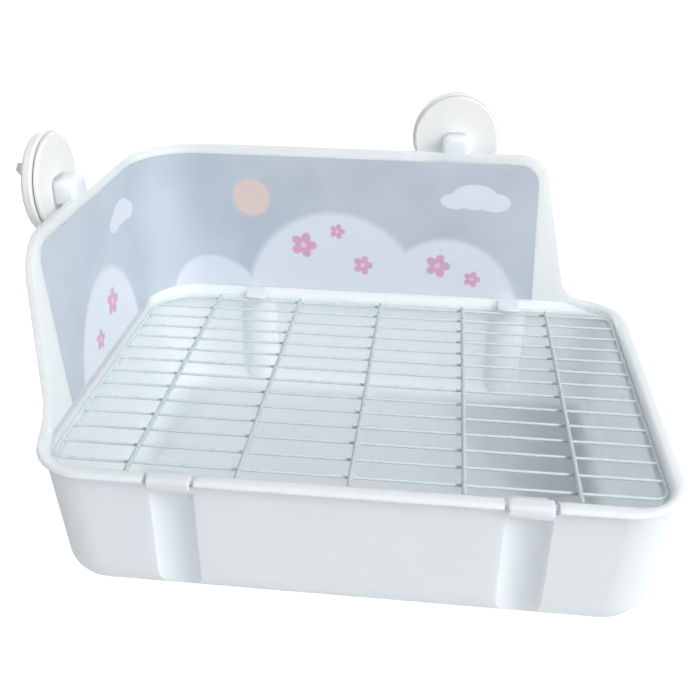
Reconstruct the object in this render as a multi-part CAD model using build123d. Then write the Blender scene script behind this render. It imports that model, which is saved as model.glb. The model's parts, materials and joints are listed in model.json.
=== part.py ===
from build123d import *
import os
from math import atan2, degrees

# Rabbit litter box. Millimetres, +X to the right, +Y to the back, +Z up.
# The origin is the middle of the pan's underside.

# Rim: its outer sizes, the thin lip that stands out over the pan, and the opening for the grid
RIM_LENGTH = 305.0
RIM_DEPTH = 219.0
RIM_TOP = 74.5
RIM_CORNER_RADIUS = 30.0
RIM_HEIGHT = 5.8
RIM_OVERHANG = 4.0
RIM_SIDE_WIDTH = 7.5
RIM_FRONT_WIDTH = 8.0
RIM_INNER_ROUNDING = 3.0
LIP_THICKNESS = 2.4
LIP_TOP_ROUNDING = 1.9
LIP_UNDER_ROUNDING = 0.4
OPENING_RADIUS = 17.0
OPENING_BACK_LEFT_EXTRA = 12.5
LEDGE_WIDTH = 2.6
LEDGE_THICKNESS = 2.2

# Pan: its flanks draw in towards the flat base by the two tapers
PAN_WALL = 2.2
PAN_LAP = 1.3
PAN_CORNER_RADIUS = 24.0
PAN_END_TAPER = 5.0
PAN_SIDE_TAPER = 0.8
BASE_CORNER_RADIUS = 24.5
BOTTOM_ROUNDING = 17.0
BACK_LEFT_EXTRA_RADIUS = 7.0

# Splash wall along the back and the left side; edges are measured in from the rim's right and front
SPLASH_HEIGHT = 166.0
SPLASH_WALL = 2.2
SPLASH_BACK_SETBACK = 4.5
SPLASH_SIDE_SETBACK = 3.9
SPLASH_FLARE = 3.4
SPLASH_LIP = 1.7
SPLASH_LIP_BAND = 2.2
BACK_EDGE_TOP_INSET = 56.8
BACK_EDGE_FOOT_INSET = 35.3
BACK_TOP_RADIUS = 17.0
BACK_FOOT_RADIUS = 18.0
BACK_FOOT_REACH = 15.5
SIDE_EDGE_TOP_INSET = 50.0
SIDE_EDGE_FOOT_INSET = 36.5
SIDE_TOP_RADIUS = 22.0
SIDE_FOOT_RADIUS = 19.0
SIDE_FOOT_REACH = 20.0
SLOPE_DROP = 1.2
SLOPE_FADE = 15.0

# Printed film on the inner faces of the splash wall; insets are from the wall's free edges
FILM_THICKNESS = 0.25
FILM_GLUE = 0.02
FILM_FOOT_GAP = 0.5
FILM_TOP_MARGIN = 5.5
FILM_BACK_TOP_INSET = 3.3
FILM_BACK_FOOT_INSET = 21.0
FILM_BACK_RADIUS = 12.0
FILM_SIDE_TOP_INSET = 8.0
FILM_SIDE_FOOT_INSET = 24.0
FILM_SIDE_RADIUS = 9.0

# Flutes pressed into the front and back walls, in line with the clips
FLUTE_SPACING = 162.8
FLUTE_WIDTH = 21.0
FLUTE_DEPTH = 6.0
FLUTE_HEIGHT = 65.0

# Wire grid; gaps are from its outer wire to the rim's opening
GRID_SIDE_GAP = 0.5
GRID_END_GAP = 10.2
GRID_CORNER_RADIUS = 6.3
GRID_BACK_LEFT_RADIUS = 24.0
GRID_SEAT_GAP = 0.3
THIN_WIRE_DIAMETER = 1.5
BAR_DIAMETER = 2.3
ROW_COUNT = 14
BAR_COUNT = 5
BAR_SPACING = 52.0
BAR_END_GAP = 1.3
BAR_BACK_REACH = 0.9
WELD_DEPTH = 0.2

# Fixed tabs over the back wire of the grid
TAB_WIDTH = 14.0
TAB_THICKNESS = 2.3
TAB_TIP_RADIUS = 4.5
TAB_GAP = 0.3
TAB_EDGE_ROUNDING = 0.8

# Clips in notches of the front rim
CLIP_WIDTH = 20.0
CLIP_SIDE_GAP = 2.0
CLIP_FLOOR_GAP = 0.3
CLIP_END_ROUNDING = 0.8
SKIRT_THICKNESS = 2.1
SKIRT_DROP = 2.4
BARREL_RADIUS = 2.4
BARREL_INSET = 2.0
TONGUE_WIDTH = 14.6
TONGUE_REACH = 2.1
TONGUE_ROOT = 3.4
TONGUE_DEPTH = 4.3
TONGUE_TIP_DROP = 1.6
TONGUE_TIP_THICKNESS = 1.5
TRUNNION_DIAMETER = 2.4
TRUNNION_GRIP = 1.6
TRUNNION_FIT = 0.07
TRUNNION_END_GAP = 0.4

# Cage clamps: places, then the stack of pieces outwards from the wall
LEFT_CLAMP_PLACE = 8.5
BACK_CLAMP_PLACE = 41.5
CLAMP_AXIS_RISE = 6.0
BOSS_HALF_WIDTH = 8.6
BOSS_TOP = 3.7
BOSS_FOOT = 9.0
BOSS_LENGTH = 12.6
BOSS_SET_IN = 0.3
BOSS_CORNER_RADIUS = 5.0
BOSS_END_ROUNDING = 3.0
WEB_WIDTH = 8.0
WEB_DROP = 17.0
INNER_DISC_RADIUS = 25.0
INNER_DISC_THICKNESS = 2.0
INNER_DISC_ROUNDING = 0.9
PAD_RADIUS = 24.0
PAD_THICKNESS = 0.6
JAW_GAP = 0.3
OUTER_DISC_RADIUS = 26.8
OUTER_DISC_THICKNESS = 5.6
OUTER_DISC_ROUNDING = 2.4
OUTER_DISC_INNER_ROUNDING = 0.8
DISH_DEPTH = 2.8
DISH_WALL = 3.2
DISH_HUB_RADIUS = 9.5
WASHER_RADIUS = 8.0
WASHER_THICKNESS = 0.8
NUT_GAP = 0.3
NUT_LENGTH = 6.6
NUT_HUB_RADIUS = 6.4
WING_REACH = 16.5
WING_THICKNESS = 4.6
WING_SET_IN = 1.2
WING_ROUNDING = 0.8
WING_ANGLE = 45.0
SCREW_DIAMETER = 5.0
SCREW_HEAD_WIDTH = 10.0
SCREW_HEAD_THICKNESS = 2.6
SCREW_HEAD_SINK = 0.2
SCREW_STAND_OUT = 1.0
SCREW_TIP_CHAMFER = 0.8
SCREW_FIT = 0.08
HEAD_FIT = 0.2

# Margins: well past a surface, just under one, and close enough to be the same place
SLACK = 20.0
SUNK = 0.8
TINY = 0.01

# Places that follow from the sizes above
LEDGE_TOP = RIM_TOP - RIM_HEIGHT
LIP_FOOT = RIM_TOP - LIP_THICKNESS
SLOPE_TOP = RIM_TOP - SLOPE_DROP
PAN_HEIGHT = LEDGE_TOP + PAN_LAP
PAN_LENGTH = RIM_LENGTH - 2 * RIM_OVERHANG
PAN_DEPTH = RIM_DEPTH - 2 * RIM_OVERHANG
OPENING_HALF_LENGTH = RIM_LENGTH / 2 - RIM_SIDE_WIDTH
OPENING_HALF_DEPTH = RIM_DEPTH / 2 - RIM_FRONT_WIDTH
WALL_HALF_LENGTH = RIM_LENGTH / 2 - SPLASH_SIDE_SETBACK
WALL_HALF_DEPTH = RIM_DEPTH / 2 - SPLASH_BACK_SETBACK
WALL_CORNER_RADIUS = RIM_CORNER_RADIUS - SPLASH_BACK_SETBACK
BACK_EDGE_TOP = RIM_LENGTH / 2 - BACK_EDGE_TOP_INSET
BACK_EDGE_FOOT = RIM_LENGTH / 2 - BACK_EDGE_FOOT_INSET
SIDE_EDGE_TOP = -RIM_DEPTH / 2 + SIDE_EDGE_TOP_INSET
SIDE_EDGE_FOOT = -RIM_DEPTH / 2 + SIDE_EDGE_FOOT_INSET
GRID_LENGTH = 2 * (OPENING_HALF_LENGTH - GRID_SIDE_GAP) - THIN_WIRE_DIAMETER
GRID_DEPTH = 2 * (OPENING_HALF_DEPTH - GRID_END_GAP) - THIN_WIRE_DIAMETER
GRID_HEIGHT = LEDGE_TOP + GRID_SEAT_GAP + THIN_WIRE_DIAMETER / 2
ROW_SPACING = GRID_DEPTH / (ROW_COUNT - 1)
BAR_HEIGHT = GRID_HEIGHT + (THIN_WIRE_DIAMETER + BAR_DIAMETER) / 2 - WELD_DEPTH
BAR_FRONT_REACH = GRID_END_GAP + THIN_WIRE_DIAMETER / 2 - BAR_END_GAP
HINGE_PLACE = -OPENING_HALF_DEPTH - BARREL_INSET
HINGE_HEIGHT = LEDGE_TOP + CLIP_FLOOR_GAP + BARREL_RADIUS
CLAMP_HEIGHT = SPLASH_HEIGHT + CLAMP_AXIS_RISE


def rounded_face(corners):
    """Face with straight sides; corners holds (across, up, radius), where radius may be zero."""
    face = make_face(Polyline(*[(across, up) for across, up, radius in corners], close=True))
    for across, up, radius in corners:
        if radius > 0:
            vertex = face.vertices().sort_by_distance((across, up, 0))[0]
            face = fillet(vertex, radius)
    return face


def plan(half_length, half_depth, radius, extra=BACK_LEFT_EXTRA_RADIUS):
    """Rounded rectangle seen from above, with extra added to the radius at its back left corner."""
    return rounded_face([
        (half_length, -half_depth, radius),
        (half_length, half_depth, radius),
        (-half_length, half_depth, radius + extra),
        (-half_length, -half_depth, radius),
    ])


def tapered(lower, lower_height, upper, upper_height):
    """Solid with straight flanks between two plans at two heights."""
    return loft([Pos(0, 0, lower_height) * lower, Pos(0, 0, upper_height) * upper], ruled=True)


def opening_plan(inset=0):
    """The rim's opening seen from above, drawn in by inset."""
    half_length = OPENING_HALF_LENGTH - inset
    half_depth = OPENING_HALF_DEPTH - inset
    return plan(half_length, half_depth, OPENING_RADIUS - inset, OPENING_BACK_LEFT_EXTRA)


def pan_form(inset):
    """The pan's outer form, or the hollow inside it when inset is the wall."""
    half_length = PAN_LENGTH / 2 - inset
    half_depth = PAN_DEPTH / 2 - inset
    base = plan(half_length - PAN_END_TAPER, half_depth - PAN_SIDE_TAPER, BASE_CORNER_RADIUS - inset)
    top = plan(half_length, half_depth, PAN_CORNER_RADIUS - inset)
    form = tapered(base, inset, top, PAN_HEIGHT)
    return fillet(form.faces().sort_by(Axis.Z)[0].edges(), BOTTOM_ROUNDING - inset)


def flutes(grow):
    """Four leaning cylinders that cut the flutes; grow adds the wall round the bumps inside."""
    flute_radius = ((FLUTE_WIDTH / 2) ** 2 + FLUTE_DEPTH ** 2) / (2 * FLUTE_DEPTH)
    lean = degrees(atan2(PAN_SIDE_TAPER, PAN_HEIGHT))
    foot = -PAN_DEPTH / 2 + PAN_SIDE_TAPER - flute_radius + FLUTE_DEPTH
    length = FLUTE_HEIGHT + grow + SLACK
    cutter = Cylinder(flute_radius + grow, length, align=(Align.CENTER, Align.CENTER, Align.MIN))
    front = Pos(0, foot, 0) * Rot(lean, 0, 0) * Pos(0, 0, -SLACK) * cutter
    back = front.mirror(Plane.XZ)
    places = [Pos(side * FLUTE_SPACING / 2, 0, 0) for side in (-1, 1)]
    return [place * bar for place in places for bar in (front, back)]


def pan():
    """Thin drafted pan with its four flutes."""
    outside = pan_form(0) - flutes(0)
    inside = pan_form(PAN_WALL) - flutes(PAN_WALL)
    return outside - inside


def rim_ring():
    """Rim with its thin lip, the collar under it on the pan's wall, and the opening for the grid."""
    body = extrude(plan(RIM_LENGTH / 2, RIM_DEPTH / 2, RIM_CORNER_RADIUS), RIM_HEIGHT)
    ring = body - extrude(opening_plan(), RIM_HEIGHT)
    inner_edges = ring.faces().sort_by(Axis.Z)[-1].inner_wires()[0].edges()
    ring = fillet(inner_edges, RIM_INNER_ROUNDING)
    ring = fillet(ring.faces().sort_by(Axis.Z)[-1].outer_wire().edges(), LIP_TOP_ROUNDING)
    outside = plan(RIM_LENGTH / 2 + SLACK, RIM_DEPTH / 2 + SLACK, RIM_CORNER_RADIUS)
    under_lip = outside - plan(PAN_LENGTH / 2, PAN_DEPTH / 2, PAN_CORNER_RADIUS)
    ring -= extrude(under_lip, RIM_HEIGHT - LIP_THICKNESS)
    lip_foot = RIM_HEIGHT - LIP_THICKNESS
    lip_under = ring.faces().filter_by_position(Axis.Z, lip_foot - TINY, lip_foot + TINY)[0]
    return Pos(0, 0, LEDGE_TOP) * fillet(lip_under.outer_wire().edges(), LIP_UNDER_ROUNDING)


def ledge_ring():
    """Narrow ledge inside the pan, just under the grid's side wires."""
    wall_middle = PAN_WALL / 2
    outer = plan(PAN_LENGTH / 2 - wall_middle, PAN_DEPTH / 2 - wall_middle, PAN_CORNER_RADIUS - wall_middle)
    ledge = extrude(outer - opening_plan(LEDGE_WIDTH), LEDGE_THICKNESS)
    return Pos(0, 0, LEDGE_TOP - LEDGE_THICKNESS) * ledge


def splash_form(offset):
    """Everything inside the splash wall's inner face, moved out by offset."""
    foot = plan(WALL_HALF_LENGTH + offset, WALL_HALF_DEPTH + offset, WALL_CORNER_RADIUS + offset)
    spread = offset + SPLASH_FLARE
    head = plan(WALL_HALF_LENGTH + spread, WALL_HALF_DEPTH + spread, WALL_CORNER_RADIUS + spread)
    return tapered(foot, LEDGE_TOP, head, SPLASH_HEIGHT)


def back_zone(face):
    """The face, drawn in X and Z, made deep enough to take in the whole back wall."""
    reach = RIM_DEPTH / 2 + SLACK
    return Pos(0, reach, 0) * extrude(Plane.XZ * face, reach - WALL_HALF_DEPTH / 2)


def side_zone(face):
    """The face, drawn in Y and Z, made deep enough to take in the whole left wall."""
    reach = RIM_LENGTH / 2 + SLACK
    return Pos(-reach, 0, 0) * extrude(Plane.YZ * face, reach - WALL_HALF_LENGTH / 2)


def splash_outlines():
    """Outlines of the back wall, in X and Z, and of the left wall, in Y and Z."""
    left_end = -RIM_LENGTH / 2 - SLACK
    back_end = RIM_DEPTH / 2 + SLACK
    low = LEDGE_TOP - SLACK
    foot = RIM_TOP - SUNK
    back = rounded_face([
        (left_end, low, 0),
        (left_end, SPLASH_HEIGHT, 0),
        (BACK_EDGE_TOP, SPLASH_HEIGHT, BACK_TOP_RADIUS),
        (BACK_EDGE_FOOT, foot, BACK_FOOT_RADIUS),
        (BACK_EDGE_FOOT + BACK_FOOT_REACH, foot, 0),
        (BACK_EDGE_FOOT + BACK_FOOT_REACH, low, 0),
    ])
    side = rounded_face([
        (back_end, low, 0),
        (back_end, SPLASH_HEIGHT, 0),
        (SIDE_EDGE_TOP, SPLASH_HEIGHT, SIDE_TOP_RADIUS),
        (SIDE_EDGE_FOOT, foot, SIDE_FOOT_RADIUS),
        (SIDE_EDGE_FOOT - SIDE_FOOT_REACH, foot, 0),
        (SIDE_EDGE_FOOT - SIDE_FOOT_REACH, low, 0),
    ])
    return back, side


def splash_wall():
    """L-shaped wall with a lip turned outwards along its top and its two free edges."""
    back, side = splash_outlines()
    sheet = splash_form(SPLASH_WALL) - splash_form(0)
    band = splash_form(SPLASH_WALL + SPLASH_LIP) - splash_form(0)
    back_edge = back - offset(back, -SPLASH_LIP_BAND)
    side_edge = side - offset(side, -SPLASH_LIP_BAND)
    wall = (sheet & back_zone(back)) + (sheet & side_zone(side))
    return wall + (band & back_zone(back_edge)) + (band & side_zone(side_edge))


def foot_slope():
    """Space above the slope that leads from the ledge up to the splash wall, fading out at its ends."""
    foot = plan(WALL_HALF_LENGTH, WALL_HALF_DEPTH, WALL_CORNER_RADIUS)
    rim = plan(RIM_LENGTH / 2, RIM_DEPTH / 2, RIM_CORNER_RADIUS)
    space = tapered(opening_plan(), LEDGE_TOP, foot, SLOPE_TOP)
    space += splash_form(0) & Pos(0, 0, SLOPE_TOP) * extrude(rim, SLACK)
    far_left = -RIM_LENGTH / 2 - SLACK
    far_back = RIM_DEPTH / 2 + SLACK
    area = rounded_face([
        (far_left, far_back, 0),
        (far_left, SIDE_EDGE_FOOT, 0),
        (-WALL_HALF_LENGTH, SIDE_EDGE_FOOT, 0),
        (-OPENING_HALF_LENGTH, SIDE_EDGE_FOOT - SLOPE_FADE, 0),
        (0, 0, 0),
        (BACK_EDGE_FOOT + SLOPE_FADE, OPENING_HALF_DEPTH, 0),
        (BACK_EDGE_FOOT, WALL_HALF_DEPTH, 0),
        (BACK_EDGE_FOOT, far_back, 0),
    ])
    return space & extrude(area, RIM_TOP + SLACK)


def clamp_frame(side):
    """Frame of one clamp: its local Z points outwards along the screw, its local Y points down."""
    if side == "left":
        wall = -(WALL_HALF_LENGTH + SPLASH_FLARE)
        return Plane(origin=(wall, LEFT_CLAMP_PLACE, CLAMP_HEIGHT), x_dir=(0, 1, 0), z_dir=(-1, 0, 0))
    wall = WALL_HALF_DEPTH + SPLASH_FLARE
    return Plane(origin=(BACK_CLAMP_PLACE, wall, CLAMP_HEIGHT), x_dir=(1, 0, 0), z_dir=(0, 1, 0))


def disc(radius, start, thickness):
    """Plain disc on the clamp's axis, from start outwards."""
    return Pos(0, 0, start) * Cylinder(radius, thickness, align=(Align.CENTER, Align.CENTER, Align.MIN))


def clamp_boss():
    """Boss that stands on the wall's top edge and carries the clamp, with the web under it."""
    profile = rounded_face([
        (-BOSS_HALF_WIDTH, BOSS_FOOT, 0),
        (-BOSS_HALF_WIDTH, -BOSS_TOP, BOSS_CORNER_RADIUS),
        (BOSS_HALF_WIDTH, -BOSS_TOP, BOSS_CORNER_RADIUS),
        (BOSS_HALF_WIDTH, BOSS_FOOT, 0),
    ])
    boss = Pos(0, 0, BOSS_SET_IN) * extrude(profile, BOSS_LENGTH - BOSS_SET_IN)
    boss = fillet(boss.faces().sort_by(Axis.Z)[0].edges().sort_by(Axis.Y)[:-1], BOSS_END_ROUNDING)
    web_face = rounded_face([
        (BOSS_FOOT - SUNK, SPLASH_WALL / 2, 0),
        (WEB_DROP, SPLASH_WALL / 2, 0),
        (WEB_DROP, SPLASH_WALL + SPLASH_LIP / 2, 0),
        (BOSS_FOOT, BOSS_LENGTH - SUNK, 0),
        (BOSS_FOOT - SUNK, BOSS_LENGTH - SUNK, 0),
    ])
    return boss + extrude(Plane.YZ * web_face, WEB_WIDTH / 2, both=True)


def clamp_bore():
    """Blind pocket in the boss for the screw's flat head, open outwards."""
    width = SCREW_HEAD_WIDTH + 2 * HEAD_FIT
    height = SCREW_DIAMETER + 2 * HEAD_FIT
    depth = SCREW_HEAD_THICKNESS + SCREW_HEAD_SINK + HEAD_FIT
    return Pos(0, 0, BOSS_LENGTH - depth + SLACK / 2) * Box(width, height, SLACK)


def clip_notch():
    """Space that one clip needs in the front rim, with the blind sockets of its trunnions."""
    notch_width = CLIP_WIDTH + 2 * CLIP_SIDE_GAP
    front = -RIM_DEPTH / 2 - SLACK
    depth = -OPENING_HALF_DEPTH - front
    room = Pos(0, front + depth / 2, LEDGE_TOP + SLACK / 2) * Box(notch_width, depth, SLACK)
    socket_length = notch_width + 2 * (TRUNNION_GRIP + TRUNNION_END_GAP)
    socket = Cylinder(TRUNNION_DIAMETER / 2 + TRUNNION_FIT, socket_length)
    return room + Pos(0, HINGE_PLACE, HINGE_HEIGHT) * Rot(0, 90, 0) * socket


def back_tab():
    """Flat tab with a round tip that reaches over the back wire of the grid."""
    tip = GRID_DEPTH / 2 - THIN_WIRE_DIAMETER / 2
    root = WALL_HALF_DEPTH + SPLASH_WALL / 2
    outline = rounded_face([
        (-TAB_WIDTH / 2, root, 0),
        (-TAB_WIDTH / 2, tip, TAB_TIP_RADIUS),
        (TAB_WIDTH / 2, tip, TAB_TIP_RADIUS),
        (TAB_WIDTH / 2, root, 0),
    ])
    tab = fillet(extrude(outline, TAB_THICKNESS).faces().sort_by(Axis.Z)[-1].edges(), TAB_EDGE_ROUNDING)
    return Pos(0, 0, GRID_HEIGHT + THIN_WIRE_DIAMETER / 2 + TAB_GAP) * tab


def tub():
    """Pan, ledge, rim, splash wall, bosses and tabs in one moulding."""
    body = pan() + ledge_ring() + (rim_ring() - foot_slope()) + splash_wall()
    for side in ("left", "back"):
        body += clamp_frame(side) * clamp_boss()
    for side in ("left", "back"):
        body -= clamp_frame(side) * clamp_bore()
    for sign in (-1, 1):
        body += Pos(sign * FLUTE_SPACING / 2, 0, 0) * back_tab()
        body -= Pos(sign * FLUTE_SPACING / 2, 0, 0) * clip_notch()
    return body


def wall_print_film():
    """Thin printed film glued to the inner faces of the splash wall."""
    left_end = -RIM_LENGTH / 2 - SLACK
    back_end = RIM_DEPTH / 2 + SLACK
    foot = SLOPE_TOP + FILM_FOOT_GAP
    top = SPLASH_HEIGHT - FILM_TOP_MARGIN
    back = rounded_face([
        (left_end, foot, 0),
        (left_end, top, 0),
        (BACK_EDGE_TOP - FILM_BACK_TOP_INSET, top, FILM_BACK_RADIUS),
        (BACK_EDGE_FOOT - FILM_BACK_FOOT_INSET, foot, 0),
    ])
    side = rounded_face([
        (back_end, foot, 0),
        (back_end, top, 0),
        (SIDE_EDGE_TOP + FILM_SIDE_TOP_INSET, top, FILM_SIDE_RADIUS),
        (SIDE_EDGE_FOOT + FILM_SIDE_FOOT_INSET, foot, 0),
    ])
    sheet = splash_form(-FILM_GLUE) - splash_form(-FILM_GLUE - FILM_THICKNESS)
    return (sheet & back_zone(back)) + (sheet & side_zone(side))


def grid_frame_wire():
    """Closed loop of thin wire round the grid."""
    half_length = GRID_LENGTH / 2
    half_depth = GRID_DEPTH / 2
    loop = rounded_face([
        (half_length, -half_depth, GRID_CORNER_RADIUS),
        (half_length, half_depth, GRID_CORNER_RADIUS),
        (-half_length, half_depth, GRID_BACK_LEFT_RADIUS),
        (-half_length, -half_depth, GRID_CORNER_RADIUS),
    ]).faces()[0].outer_wire()
    start = Plane(origin=(0, -half_depth, 0), x_dir=(0, 1, 0), z_dir=(1, 0, 0))
    section = start * Circle(THIN_WIRE_DIAMETER / 2)
    return Pos(0, 0, GRID_HEIGHT) * sweep(section, path=loop)


def grid_cross_wires():
    """Thin wires from left to right, each welded to the frame wire's two sides."""
    length = GRID_LENGTH - THIN_WIRE_DIAMETER + 2 * WELD_DEPTH
    wire = Rot(0, 90, 0) * Cylinder(THIN_WIRE_DIAMETER / 2, length)
    rows = [-GRID_DEPTH / 2 + row * ROW_SPACING for row in range(1, ROW_COUNT - 1)]
    return Compound([Pos(0, row, GRID_HEIGHT) * wire for row in rows])


def grid_bars():
    """Thicker wires from front to back, welded on top of the thin ones."""
    length = GRID_DEPTH + BAR_FRONT_REACH + BAR_BACK_REACH
    middle = (BAR_BACK_REACH - BAR_FRONT_REACH) / 2
    bar = Rot(90, 0, 0) * Cylinder(BAR_DIAMETER / 2, length)
    columns = [(column - (BAR_COUNT - 1) / 2) * BAR_SPACING for column in range(BAR_COUNT)]
    return Compound([Pos(column, middle, BAR_HEIGHT) * bar for column in columns])


def front_clip():
    """Clip with a front skirt, an inner tongue, and a hinge barrel with a trunnion at each end."""
    outer = -RIM_DEPTH / 2
    inner = -OPENING_HALF_DEPTH
    skirt_foot = LIP_FOOT - SKIRT_DROP
    section = rounded_face([
        (outer, skirt_foot, LIP_UNDER_ROUNDING),
        (outer, RIM_TOP, LIP_TOP_ROUNDING),
        (inner, RIM_TOP, LIP_TOP_ROUNDING),
        (inner, LIP_FOOT, 0),
        (outer + SKIRT_THICKNESS, LIP_FOOT, 0),
        (outer + SKIRT_THICKNESS, skirt_foot, LIP_UNDER_ROUNDING),
    ])
    plate = extrude(Plane.YZ * section, CLIP_WIDTH / 2, both=True)
    end_edges = plate.edges().filter_by(lambda edge: abs(abs(edge.center().X) - CLIP_WIDTH / 2) < SUNK)
    plate = fillet(end_edges, CLIP_END_ROUNDING)
    tip = inner + TONGUE_REACH
    tip_top = RIM_TOP - TONGUE_TIP_DROP
    tongue_section = rounded_face([
        (inner - TONGUE_ROOT, RIM_TOP - TONGUE_DEPTH, 0),
        (inner - TONGUE_ROOT, RIM_TOP, 0),
        (tip, tip_top, 0),
        (tip, tip_top - TONGUE_TIP_THICKNESS, 0),
        (inner, RIM_TOP - TONGUE_DEPTH, 0),
    ])
    tongue = extrude(Plane.YZ * tongue_section, TONGUE_WIDTH / 2, both=True)
    trunnion_length = CLIP_WIDTH + 2 * (CLIP_SIDE_GAP + TRUNNION_GRIP)
    pin = Cylinder(BARREL_RADIUS, CLIP_WIDTH) + Cylinder(TRUNNION_DIAMETER / 2, trunnion_length)
    return plate + tongue + Pos(0, HINGE_PLACE, HINGE_HEIGHT) * Rot(0, 90, 0) * pin


def clamp_pieces():
    """The pieces of one clamp in its own frame, by name, in order outwards from the wall."""
    inner_start = BOSS_LENGTH
    pad_start = inner_start + INNER_DISC_THICKNESS
    outer_start = pad_start + PAD_THICKNESS + JAW_GAP
    outer_end = outer_start + OUTER_DISC_THICKNESS
    nut_start = outer_end + WASHER_THICKNESS + NUT_GAP
    screw_end = nut_start + NUT_LENGTH + SCREW_STAND_OUT
    bore = disc(SCREW_DIAMETER / 2 + SCREW_FIT, 0, screw_end + SLACK)

    inner_disc = disc(INNER_DISC_RADIUS, inner_start, INNER_DISC_THICKNESS)
    inner_disc = fillet(inner_disc.edges().sort_by(Axis.Z)[0], INNER_DISC_ROUNDING) - bore
    pad = disc(PAD_RADIUS, pad_start, PAD_THICKNESS) - bore

    outer_disc = disc(OUTER_DISC_RADIUS, outer_start, OUTER_DISC_THICKNESS)
    outer_disc = fillet(outer_disc.edges().sort_by(Axis.Z)[-1], OUTER_DISC_ROUNDING)
    outer_disc = fillet(outer_disc.edges().sort_by(Axis.Z)[0], OUTER_DISC_INNER_ROUNDING)
    dish_start = outer_end - DISH_DEPTH
    dish = disc(OUTER_DISC_RADIUS - DISH_WALL, dish_start, SLACK) - disc(DISH_HUB_RADIUS, dish_start, SLACK)
    outer_disc = outer_disc - dish - bore

    washer = disc(WASHER_RADIUS, outer_end, WASHER_THICKNESS) - bore

    hub = disc(NUT_HUB_RADIUS, nut_start, NUT_LENGTH)
    wing_length = NUT_LENGTH - WING_SET_IN
    wing_middle = nut_start + WING_SET_IN + wing_length / 2
    wings = Box(2 * WING_REACH, WING_THICKNESS, wing_length)
    wings = fillet(wings.edges().filter_by(Axis.Y), WING_THICKNESS / 2)
    wings = fillet(wings.edges(), WING_ROUNDING)
    wing_nut = hub + Pos(0, 0, wing_middle) * Rot(0, 0, WING_ANGLE) * wings - bore

    head_start = BOSS_LENGTH - SCREW_HEAD_SINK - SCREW_HEAD_THICKNESS
    head_box = Box(SCREW_HEAD_WIDTH, SCREW_DIAMETER, SCREW_HEAD_THICKNESS)
    head = Pos(0, 0, head_start + SCREW_HEAD_THICKNESS / 2) * head_box
    shank = disc(SCREW_DIAMETER / 2, head_start, screw_end - head_start)
    shank = chamfer(shank.edges().sort_by(Axis.Z)[-1], SCREW_TIP_CHAMFER)

    return {
        "screw": head + shank,
        "inner_disc": inner_disc,
        "pad": pad,
        "outer_disc": outer_disc,
        "washer": washer,
        "wing_nut": wing_nut,
    }


def all_parts():
    """Every node's shape by its name, in its place."""
    parts = {
        "tub": tub(),
        "wall_print_film": wall_print_film(),
        "grid_frame_wire": grid_frame_wire(),
        "grid_cross_wires": grid_cross_wires(),
        "grid_bars": grid_bars(),
    }
    for name, sign in (("front_left_clip", -1), ("front_right_clip", 1)):
        parts[name] = Pos(sign * FLUTE_SPACING / 2, 0, 0) * front_clip()
    for side in ("left", "back"):
        for name, shape in clamp_pieces().items():
            parts[f"{side}_clamp_{name}"] = clamp_frame(side) * shape
    return parts


os.makedirs("parts", exist_ok=True)
for node, shape in all_parts().items():
    export_step(shape, f"parts/{node}.step")
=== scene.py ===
import json

import bpy
from mathutils import Matrix, Vector


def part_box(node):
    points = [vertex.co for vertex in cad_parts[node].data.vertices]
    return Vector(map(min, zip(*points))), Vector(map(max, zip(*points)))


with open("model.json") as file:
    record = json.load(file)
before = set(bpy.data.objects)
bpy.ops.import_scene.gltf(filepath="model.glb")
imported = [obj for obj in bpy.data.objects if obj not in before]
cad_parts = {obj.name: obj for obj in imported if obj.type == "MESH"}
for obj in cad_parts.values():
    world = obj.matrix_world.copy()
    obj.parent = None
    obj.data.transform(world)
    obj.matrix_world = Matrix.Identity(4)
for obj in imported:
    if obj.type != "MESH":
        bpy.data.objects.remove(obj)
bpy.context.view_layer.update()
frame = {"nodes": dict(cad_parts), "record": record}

MM = 0.001
WHITE = (1.0, 1.0, 1.0)
OPAQUE = 1.0

# Camera, fitted to the grid's wires in the photograph
CAMERA_PLACE = Vector((0.0328, -0.41838, 0.31773))
CAMERA_FORWARD = Vector((-0.08947575, 0.87217787, -0.48093644))
CAMERA_UP = Vector((-0.0581809, 0.47747166, 0.87671876))
SENSOR = 36.0
FOCAL_LENGTH = 45.386
CLIP_START = 0.01

# Lights: name, place, size in metres, strength in watts and colour
OBJECT_MIDDLE = Vector((0.0, 0.0, 0.08))
LIGHTS = [
    ("key", Vector((1.2, -0.7, 1.1)), 1.2, 20.5, (0.93, 0.97, 1.0)),
    ("front", Vector((0.2, -1.0, 1.6)), 1.4, 8.0, WHITE),
    ("low", Vector((1.6, -0.7, 0.35)), 1.2, 3.0, (1.0, 0.95, 0.88)),
    ("back", Vector((-1.1, 1.5, 0.35)), 1.2, 19.0, (1.0, 0.99, 0.97)),
]
SKY_LEVEL = 0.25
BACKDROP_LEVEL = 1.0

# Floor: its side in metres, its surface, and the white that only the camera sees it lifted by
FLOOR_SIZE = 30.0
FLOOR_COLOUR = (0.90, 0.90, 0.90)
FLOOR_ROUGHNESS = 0.9
FLOOR_GLOSS = 0.1
FLOOR_LIFT = 0.85


def linear(colour):
    """Scene colour of a display colour given in steps of 255."""
    def channel(step):
        part = step / 255
        return part / 12.92 if part <= 0.04045 else ((part + 0.055) / 1.055) ** 2.4
    return tuple(channel(step) for step in colour) + (OPAQUE,)


def darker(colour, steps):
    """The same display colour, darker by some steps of 255."""
    return tuple(step - steps for step in colour)


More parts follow.
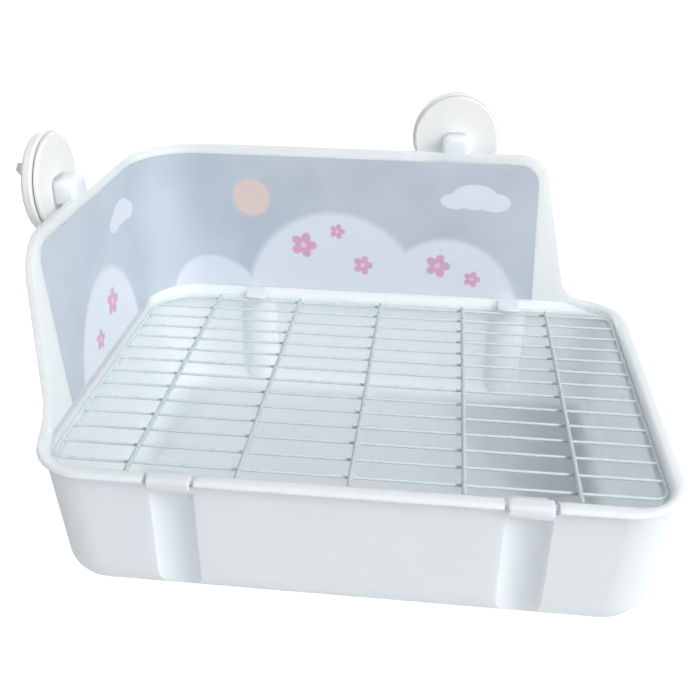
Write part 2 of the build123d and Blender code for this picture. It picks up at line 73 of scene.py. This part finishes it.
class Shader:
    """One material and short calls that add nodes to it."""

    def __init__(self, name, roughness, gloss):
        self.material = bpy.data.materials.new(name)
        self.material.use_nodes = True
        self.tree = self.material.node_tree
        self.surface = self.tree.nodes["Principled BSDF"].inputs
        self.surface["Roughness"].default_value = roughness
        self.surface["Specular IOR Level"].default_value = gloss
        self.place = self.add("ShaderNodeTexCoord").outputs["Object"]

    def add(self, kind, **settings):
        node = self.tree.nodes.new(kind)
        for key, value in settings.items():
            setattr(node, key, value)
        return node

    def feed(self, socket, value):
        """Links an output to the socket, or sets a plain value on it."""
        if isinstance(value, bpy.types.NodeSocket):
            self.tree.links.new(value, socket)
        else:
            socket.default_value = value

    def finish(self, **sockets):
        """Feeds the surface's own sockets; a name's underscores stand for spaces."""
        for name, value in sockets.items():
            self.feed(self.surface[name.replace("_", " ")], value)

    def math(self, operation, first, second=0.0):
        node = self.add("ShaderNodeMath", operation=operation)
        self.feed(node.inputs[0], first)
        self.feed(node.inputs[1], second)
        return node.outputs[0]

    def split(self, vector):
        """The X, Y and Z outputs of a vector."""
        node = self.add("ShaderNodeSeparateXYZ")
        self.feed(node.inputs[0], vector)
        return node.outputs

    def length(self, vector):
        node = self.add("ShaderNodeVectorMath", operation="LENGTH")
        self.feed(node.inputs[0], vector)
        return node.outputs["Value"]

    def ramp(self, value, low, high, to_low=0.0, to_high=1.0):
        """Smooth step of value from low to high."""
        node = self.add("ShaderNodeMapRange", interpolation_type="SMOOTHSTEP")
        self.feed(node.inputs["Value"], value)
        node.inputs["From Min"].default_value = low
        node.inputs["From Max"].default_value = high
        node.inputs["To Min"].default_value = to_low
        node.inputs["To Max"].default_value = to_high
        return node.outputs["Result"]

    def mix(self, mask, below, above):
        """Colour below where the mask is 0, above where it is 1."""
        node = self.add("ShaderNodeMix", data_type="RGBA")
        self.feed(node.inputs["Factor"], mask)
        self.feed(node.inputs["A"], below)
        self.feed(node.inputs["B"], above)
        return node.outputs["Result"]

    def noise(self, size, detail=3.0):
        """Noise whose spots are about size millimetres across."""
        node = self.add("ShaderNodeTexNoise")
        self.feed(node.inputs["Vector"], self.place)
        node.inputs["Scale"].default_value = 1 / (size * MM)
        node.inputs["Detail"].default_value = detail
        return node.outputs["Fac"]

    def bump(self, height, depth, below=None):
        """Bump of depth millimetres; below is a normal to build on."""
        node = self.add("ShaderNodeBump")
        node.inputs["Strength"].default_value = 1.0
        node.inputs["Distance"].default_value = depth * MM
        self.feed(node.inputs["Height"], height)
        if below is not None:
            self.feed(node.inputs["Normal"], below)
        return node.outputs["Normal"]


# In the materials below, colours are written as they should look on the finished surface, in
# steps of 255. Sizes and depths are in millimetres. A band holds the two values of a noise between
# which its mark fades in. A detail counts a noise's finer layers.

# White plastics: light wanders by PLASTIC_DEPTH inside the thin walls
TUB_WHITE = (239, 246, 251)
TUB_ROUGHNESS = 0.28
TUB_TINT = 6.0
TUB_SEE_THROUGH = 0.9
CLAMP_WHITE = (250, 249, 246)
CLAMP_ROUGHNESS = 0.36
CLAMP_TINT = 4.0
NUT_WHITE = (226, 226, 224)
SCREW_WHITE = (232, 232, 230)
NUT_ROUGHNESS = 0.40
PLASTIC_GLOSS = 0.36
PLASTIC_DEPTH = 8.0
FLOW_SIZE = 60.0
FLOW_DETAIL = 2.0
SCUFF_SIZE = 9.0
SCUFF_DETAIL = 6.0
SCUFF_BAND = (0.35, 0.75)
SCUFF_ROUGHNESS = 0.12
EDGE_ROUNDING = 0.5
EDGE_SAMPLES = 4
SKIN_SIZE = 0.7
SKIN_DETAIL = 2.0
SKIN_DEPTH = 0.012
WAVE_SIZE = 28.0
WAVE_DETAIL = 1.0
WAVE_DEPTH = 0.10


def moulded_plastic(name, colour, roughness, tint, see_through=0.0):
    """Smooth moulded plastic: faint flow marks, a fine skin, soft scuffs and rounded edges."""
    shader = Shader(name, roughness, PLASTIC_GLOSS)
    flow = shader.noise(FLOW_SIZE, FLOW_DETAIL)
    scuffs = shader.noise(SCUFF_SIZE, SCUFF_DETAIL)
    edges = shader.add("ShaderNodeBevel", samples=EDGE_SAMPLES)
    edges.inputs["Radius"].default_value = EDGE_ROUNDING * MM
    skin = shader.bump(shader.noise(SKIN_SIZE, SKIN_DETAIL), SKIN_DEPTH, below=edges.outputs["Normal"])
    shader.finish(
        Subsurface_Weight=see_through,
        Subsurface_Radius=WHITE,
        Subsurface_Scale=PLASTIC_DEPTH * MM,
        Base_Color=shader.mix(flow, linear(colour), linear(darker(colour, tint))),
        Roughness=shader.ramp(scuffs, *SCUFF_BAND, roughness, roughness + SCUFF_ROUGHNESS),
        Normal=shader.bump(shader.noise(WAVE_SIZE, WAVE_DETAIL), WAVE_DEPTH, below=skin),
    )
    return shader.material


# Dipped wire: the thin wires and the thicker bars share one dip, and the bars' darker colour is
# painted shade
WIRE_COLOUR = (222, 234, 233)
SHADED_BAR_COLOUR = (204, 217, 218)
DIP_ROUGHNESS = 0.30
DIP_GLOSS = 0.5
DIP_COAT = 0.25
DIP_TINT = 12
DIP_PATCH_SIZE = 7.0
DIP_PATCH_DETAIL = 4.0
DIP_WEAR_SIZE = 3.0
DIP_WEAR_BAND = (0.3, 0.8)
DIP_WEAR_ROUGHNESS = (0.24, 0.42)
DIP_RIPPLE_SIZE = 1.6
DIP_RIPPLE_DEPTH = 0.05

# Painted shadows of the bars on the thin wires: each lies to the left of its bar, and fades from its
# core to its reach
BAR_SHADOW_COLOUR = (126, 140, 143)
BAR_COUNT = 5
BAR_SPACING = 52.0
BAR_SHADOW_SHIFT = 2.0
BAR_SHADOW_CORE = 0.9
BAR_SHADOW_REACH = 2.3
BAR_SHADOW_STRENGTH = 0.7
BAR_SHADOW_PATCH_SIZE = 5.0
BAR_SHADOW_PATCH_DETAIL = 1.0
BAR_SHADOW_PATCH_BAND = (0.30, 0.60)
BAR_SHADOW_LEAST = 0.35


def dipped_wire(name, colour, bar_shadows):
    """Steel wire in a thin plastic dip: glossy, a little uneven along its length, and, on the thin
    wires, darkened by a painted shadow just left of each bar."""
    shader = Shader(name, DIP_ROUGHNESS, DIP_GLOSS)
    patches = shader.noise(DIP_PATCH_SIZE, DIP_PATCH_DETAIL)
    base = shader.mix(patches, linear(colour), linear(darker(colour, DIP_TINT)))
    # Painted shadow of each bar, darkening the thin wire beside it
    if bar_shadows:
        base = shader.mix(painted_bar_shadow_mask(shader), base, linear(BAR_SHADOW_COLOUR))
    shader.finish(
        Base_Color=base,
        Roughness=shader.ramp(shader.noise(DIP_WEAR_SIZE), *DIP_WEAR_BAND, *DIP_WEAR_ROUGHNESS),
        Normal=shader.bump(shader.noise(DIP_RIPPLE_SIZE), DIP_RIPPLE_DEPTH),
        Coat_Weight=DIP_COAT,
    )
    return shader.material


def painted_bar_shadow_mask(shader):
    """Mask of the bars' painted shadows: strongest beside each bar, falling to 0 a few millimetres
    along the wire.
    """
    spacing = BAR_SPACING * MM
    ends = BAR_COUNT / 2 * spacing
    across = shader.math("ADD", shader.split(shader.place)["X"], BAR_SHADOW_SHIFT * MM)
    inside = shader.math("LESS_THAN", shader.math("ABSOLUTE", across), ends)
    part_way = shader.math("MODULO", shader.math("ADD", across, ends), spacing)
    away = shader.math("ABSOLUTE", shader.math("SUBTRACT", part_way, spacing / 2))
    mark = shader.ramp(away, BAR_SHADOW_REACH * MM, BAR_SHADOW_CORE * MM, 0.0, BAR_SHADOW_STRENGTH)
    patches = shader.noise(BAR_SHADOW_PATCH_SIZE, BAR_SHADOW_PATCH_DETAIL)
    uneven = shader.ramp(patches, *BAR_SHADOW_PATCH_BAND, BAR_SHADOW_LEAST)
    return shader.math("MULTIPLY", shader.math("MULTIPLY", mark, inside), uneven)


# Zinc-plated steel
STEEL_GREY = (176, 177, 178)
STEEL_TINT = 22
STEEL_ROUGHNESS = 0.38
STEEL_GLOSS = 0.5
SCRATCH_SIZE = 0.5
SCRATCH_DETAIL = 6.0
SCRATCH_BAND = (0.3, 0.7)
SCRATCH_ROUGHNESS = (0.30, 0.50)
SCRATCH_DEPTH = 0.01


def turned_steel():
    """Zinc-plated washer steel with fine scratches."""
    shader = Shader("washer_steel", STEEL_ROUGHNESS, STEEL_GLOSS)
    grain = shader.noise(SCRATCH_SIZE, SCRATCH_DETAIL)
    shader.finish(
        Metallic=1.0,
        Base_Color=shader.mix(grain, linear(STEEL_GREY), linear(darker(STEEL_GREY, STEEL_TINT))),
        Roughness=shader.ramp(grain, *SCRATCH_BAND, *SCRATCH_ROUGHNESS),
        Normal=shader.bump(grain, SCRATCH_DEPTH),
    )
    return shader.material


# Grip pad: its tan is darkened as painted shade of the seam between the discs
PAD_SHADED_TAN = (188, 177, 164)
PAD_TINT = 26
PAD_ROUGHNESS = 0.85
PAD_GLOSS = 0.2
CELL_SIZE = 0.8
CELL_DEPTH = 0.08


def grip_foam():
    """Thin tan pad with fine open cells; its tan is darkened as painted shade of the seam between the
    discs.
    """
    shader = Shader("grip_foam", PAD_ROUGHNESS, PAD_GLOSS)
    cells = shader.add("ShaderNodeTexVoronoi")
    shader.feed(cells.inputs["Vector"], shader.place)
    cells.inputs["Scale"].default_value = 1 / (CELL_SIZE * MM)
    depth = cells.outputs["Distance"]
    shader.finish(
        Base_Color=shader.mix(depth, linear(darker(PAD_SHADED_TAN, PAD_TINT)), linear(PAD_SHADED_TAN)),
        Normal=shader.bump(depth, CELL_DEPTH),
    )
    return shader.material


# Printed film
FILM_GROUND = (204, 212, 221)
FILM_GROUND_DEEP = (192, 200, 211)
FILM_PALE = (231, 235, 244)
FILM_PINK = (226, 172, 204)
FILM_PEACH = (233, 212, 204)
FILM_ROUGHNESS = 0.34
FILM_GLOSS = 0.45
WASH_SIZE = 55.0
WASH_DETAIL = 2.0
WASH_BAND = (0.35, 0.7)
GRAIN_SIZE = 0.6
GRAIN_BAND = (0.3, 0.7)
GRAIN_ROUGHNESS = (0.30, 0.42)
GRAIN_DEPTH = 0.006
RIPPLE_SIZE = 22.0
RIPPLE_DETAIL = 1.0
RIPPLE_DEPTH = 0.06

# The film's pattern is laid out along the wall: across counts from the inner corner, to the right
# along the back wall and negative along the left wall; up counts from the foot. Mounds and clouds
# are (across, up, half width, half height), the sun and the flowers (across, up, radius).
FILM_LOW, FILM_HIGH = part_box("wall_print_film")
MOUNDS = [(118, -10, 58, 62), (190, -14, 46, 52), (-92, -12, 46, 58), (36, -16, 34, 36)]
CLOUDS = [
    (206, 66, 14, 8), (218, 63, 10, 6), (194, 63, 9, 5),
    (-52, 66, 13, 7), (-41, 63, 8, 5), (-64, 63, 8, 5),
]
SUNS = [(66, 60, 12)]
FLOWERS = [
    (98, 30, 8.5), (136, 18, 6.5), (120, 40, 5.0), (184, 20, 8.0), (206, 12, 5.5),
    (-84, 24, 8.0), (-108, 12, 6.0),
]
PETALS = 5
PETAL_DEPTH = 0.42
HEART_SHARE = 0.24

# How soft each shape's edge is, as a share of its size
MOUND_BLUR = 0.05
CLOUD_BLUR = 0.10
SUN_BLUR = 0.12
FLOWER_BLUR = 0.14
HEART_BLUR = 0.25


def film_layout(shader):
    """Vector that holds the place along the wall and up it, in millimetres."""
    place = shader.split(shader.place)
    across = shader.math("ADD", place["X"], place["Y"])
    across = shader.math("SUBTRACT", across, FILM_LOW.x + FILM_HIGH.y)
    up = shader.math("SUBTRACT", place["Z"], FILM_LOW.z)
    join = shader.add("ShaderNodeCombineXYZ")
    shader.feed(join.inputs["X"], shader.math("DIVIDE", across, MM))
    shader.feed(join.inputs["Y"], shader.math("DIVIDE", up, MM))
    return join.outputs[0]


def local_place(shader, layout, middle, radii):
    """The layout as seen from an ellipse's middle, where its outline is 1 away."""
    node = shader.add("ShaderNodeMapping", vector_type="TEXTURE")
    shader.feed(node.inputs["Vector"], layout)
    node.inputs["Location"].default_value = (*middle, 0.0)
    node.inputs["Scale"].default_value = (*radii, 1.0)
    return node.outputs["Vector"]


def circles(shapes, share=1.0):
    """Ellipses of equal half width and half height in place of (across, up, radius)."""
    return [(across, up, radius * share, radius * share) for across, up, radius in shapes]


def ellipses(shader, layout, shapes, blur):
    """Mask of several soft ellipses."""
    mask = 0.0
    for across, up, half_width, half_height in shapes:
        place = local_place(shader, layout, (across, up), (half_width, half_height))
        mask = shader.math("MAXIMUM", mask, shader.ramp(shader.length(place), 1 + blur, 1 - blur))
    return mask


def flowers(shader, layout, shapes, blur):
    """Mask of petalled flowers, whose edge runs between the petals' tips and their roots."""
    mask = 0.0
    for across, up, radius in shapes:
        place = local_place(shader, layout, (across, up), (radius, radius))
        split = shader.split(place)
        angle = shader.math("ARCTAN2", split["Y"], split["X"])
        wave = shader.math("COSINE", shader.math("MULTIPLY", angle, PETALS / 2))
        petal = shader.math("MULTIPLY", shader.math("ABSOLUTE", wave), PETAL_DEPTH)
        edge = shader.math("ADD", petal, 1 - PETAL_DEPTH)
        distance = shader.math("SUBTRACT", shader.length(place), edge)
        mask = shader.math("MAXIMUM", mask, shader.ramp(distance, blur, -blur))
    return mask


def printed_film():
    """Glossy film with soft mounds, clouds, a sun and small flowers in pale colours."""
    shader = Shader("printed_film", FILM_ROUGHNESS, FILM_GLOSS)
    layout = film_layout(shader)
    wash = shader.ramp(shader.noise(WASH_SIZE, WASH_DETAIL), *WASH_BAND)
    colour = shader.mix(wash, linear(FILM_GROUND), linear(FILM_GROUND_DEEP))
    for shapes, blur, paint_colour in (
        (CLOUDS, CLOUD_BLUR, FILM_PALE),
        (circles(SUNS), SUN_BLUR, FILM_PEACH),
        (MOUNDS, MOUND_BLUR, FILM_PALE),
    ):
        colour = shader.mix(ellipses(shader, layout, shapes, blur), colour, linear(paint_colour))
    petals = flowers(shader, layout, FLOWERS, FLOWER_BLUR)
    hearts = ellipses(shader, layout, circles(FLOWERS, HEART_SHARE), HEART_BLUR)
    colour = shader.mix(petals, colour, linear(FILM_PINK))
    grain = shader.noise(GRAIN_SIZE)
    ripple = shader.bump(shader.noise(RIPPLE_SIZE, RIPPLE_DETAIL), RIPPLE_DEPTH)
    shader.finish(
        Base_Color=shader.mix(hearts, colour, linear(FILM_PEACH)),
        Roughness=shader.ramp(grain, *GRAIN_BAND, *GRAIN_ROUGHNESS),
        Normal=shader.bump(grain, GRAIN_DEPTH, below=ripple),
    )
    return shader.material


def paint(node, material):
    """Gives a CAD node its finish in all its slots."""
    mesh = frame["nodes"][node].data
    mesh.materials.clear()
    mesh.materials.append(material)


def paint_all():
    """Finds each node's finish by the material slot that the record names."""
    white = moulded_plastic("tub_plastic", TUB_WHITE, TUB_ROUGHNESS, TUB_TINT, TUB_SEE_THROUGH)
    finishes = {
        "tub_plastic": white,
        "print_film": printed_film(),
        # The thin wires carry the bars' painted shadows
        "grid_wire": dipped_wire("dipped_wire", WIRE_COLOUR, bar_shadows=True),
        "clamp_plastic": moulded_plastic("clamp_plastic", CLAMP_WHITE, CLAMP_ROUGHNESS, CLAMP_TINT),
        "nut_plastic": moulded_plastic("nut_plastic", NUT_WHITE, NUT_ROUGHNESS, CLAMP_TINT),
        "screw_plastic": moulded_plastic("screw_plastic", SCREW_WHITE, NUT_ROUGHNESS, CLAMP_TINT),
        "washer_steel": turned_steel(),
        "grip_pad": grip_foam(),
    }
    for part in frame["record"]["subparts"]:
        paint(part["node"], finishes[part["material_slot"]])
    # The bars' darker colour is painted shade on the same dip as the wires
    paint("grid_bars", dipped_wire("dipped_bar", SHADED_BAR_COLOUR, bar_shadows=False))


def look_from(place, forward, up):
    """Placing matrix of a camera or light that looks forward from a place."""
    back = -forward.normalized()
    right = up.cross(back).normalized()
    turn = Matrix((right, back.cross(right), back)).transposed()
    return Matrix.Translation(place) @ turn.to_4x4()


def add_camera():
    camera = bpy.data.objects.new("camera", bpy.data.cameras.new("camera"))
    camera.data.sensor_width = SENSOR
    camera.data.lens = FOCAL_LENGTH
    camera.data.clip_start = CLIP_START
    camera.matrix_world = look_from(CAMERA_PLACE, CAMERA_FORWARD, CAMERA_UP)
    bpy.context.collection.objects.link(camera)
    bpy.context.scene.camera = camera


def add_light(name, place, size, power, colour):
    lamp = bpy.data.lights.new(name, "AREA")
    lamp.shape = "DISK"
    lamp.size = size
    lamp.energy = power
    lamp.color = colour
    light = bpy.data.objects.new(name, lamp)
    light.matrix_world = look_from(place, OBJECT_MIDDLE - place, Vector((0, 0, 1)))
    bpy.context.collection.objects.link(light)


def add_world():
    """Even sky for the object; the camera and mirror-like surfaces see plain white."""
    world = bpy.data.worlds.new("sky")
    world.use_nodes = True
    bpy.context.scene.world = world
    tree = world.node_tree
    sky = tree.nodes["Background"]
    backdrop = tree.nodes.new("ShaderNodeBackground")
    for background, level in ((sky, SKY_LEVEL), (backdrop, BACKDROP_LEVEL)):
        background.inputs["Color"].default_value = (*WHITE, OPAQUE)
        background.inputs["Strength"].default_value = level
    seen = tree.nodes.new("ShaderNodeLightPath")
    white_rays = seen.outputs["Is Camera Ray"]
    for kind in ("Is Glossy Ray", "Is Transmission Ray"):
        either = tree.nodes.new("ShaderNodeMath")
        either.operation = "MAXIMUM"
        tree.links.new(white_rays, either.inputs[0])
        tree.links.new(seen.outputs[kind], either.inputs[1])
        white_rays = either.outputs[0]
    pick = tree.nodes.new("ShaderNodeMixShader")
    tree.links.new(white_rays, pick.inputs["Fac"])
    tree.links.new(sky.outputs[0], pick.inputs[1])
    tree.links.new(backdrop.outputs[0], pick.inputs[2])
    tree.links.new(pick.outputs[0], tree.nodes["World Output"].inputs["Surface"])


def add_floor():
    """Wide pale floor, lifted to white for the camera alone so that the shadow stays."""
    mesh = bpy.data.meshes.new("floor")
    half = FLOOR_SIZE / 2
    corners = [(-half, -half, 0), (half, -half, 0), (half, half, 0), (-half, half, 0)]
    mesh.from_pydata(corners, [], [(0, 1, 2, 3)])
    floor = bpy.data.objects.new("floor", mesh)
    bpy.context.collection.objects.link(floor)
    material = bpy.data.materials.new("floor")
    material.use_nodes = True
    tree = material.node_tree
    surface = tree.nodes["Principled BSDF"]
    surface.inputs["Base Color"].default_value = (*FLOOR_COLOUR, OPAQUE)
    surface.inputs["Roughness"].default_value = FLOOR_ROUGHNESS
    surface.inputs["Specular IOR Level"].default_value = FLOOR_GLOSS
    glow = tree.nodes.new("ShaderNodeEmission")
    seen = tree.nodes.new("ShaderNodeLightPath")
    lift = tree.nodes.new("ShaderNodeMath")
    lift.operation = "MULTIPLY"
    lift.inputs[1].default_value = FLOOR_LIFT
    tree.links.new(seen.outputs["Is Camera Ray"], lift.inputs[0])
    tree.links.new(lift.outputs[0], glow.inputs["Strength"])
    both = tree.nodes.new("ShaderNodeAddShader")
    tree.links.new(surface.outputs[0], both.inputs[0])
    tree.links.new(glow.outputs[0], both.inputs[1])
    tree.links.new(both.outputs[0], tree.nodes["Material Output"].inputs["Surface"])
    mesh.materials.append(material)


bpy.context.scene.view_settings.view_transform = "Standard"
add_camera()
add_world()
for light in LIGHTS:
    add_light(*light)
add_floor()
paint_all()
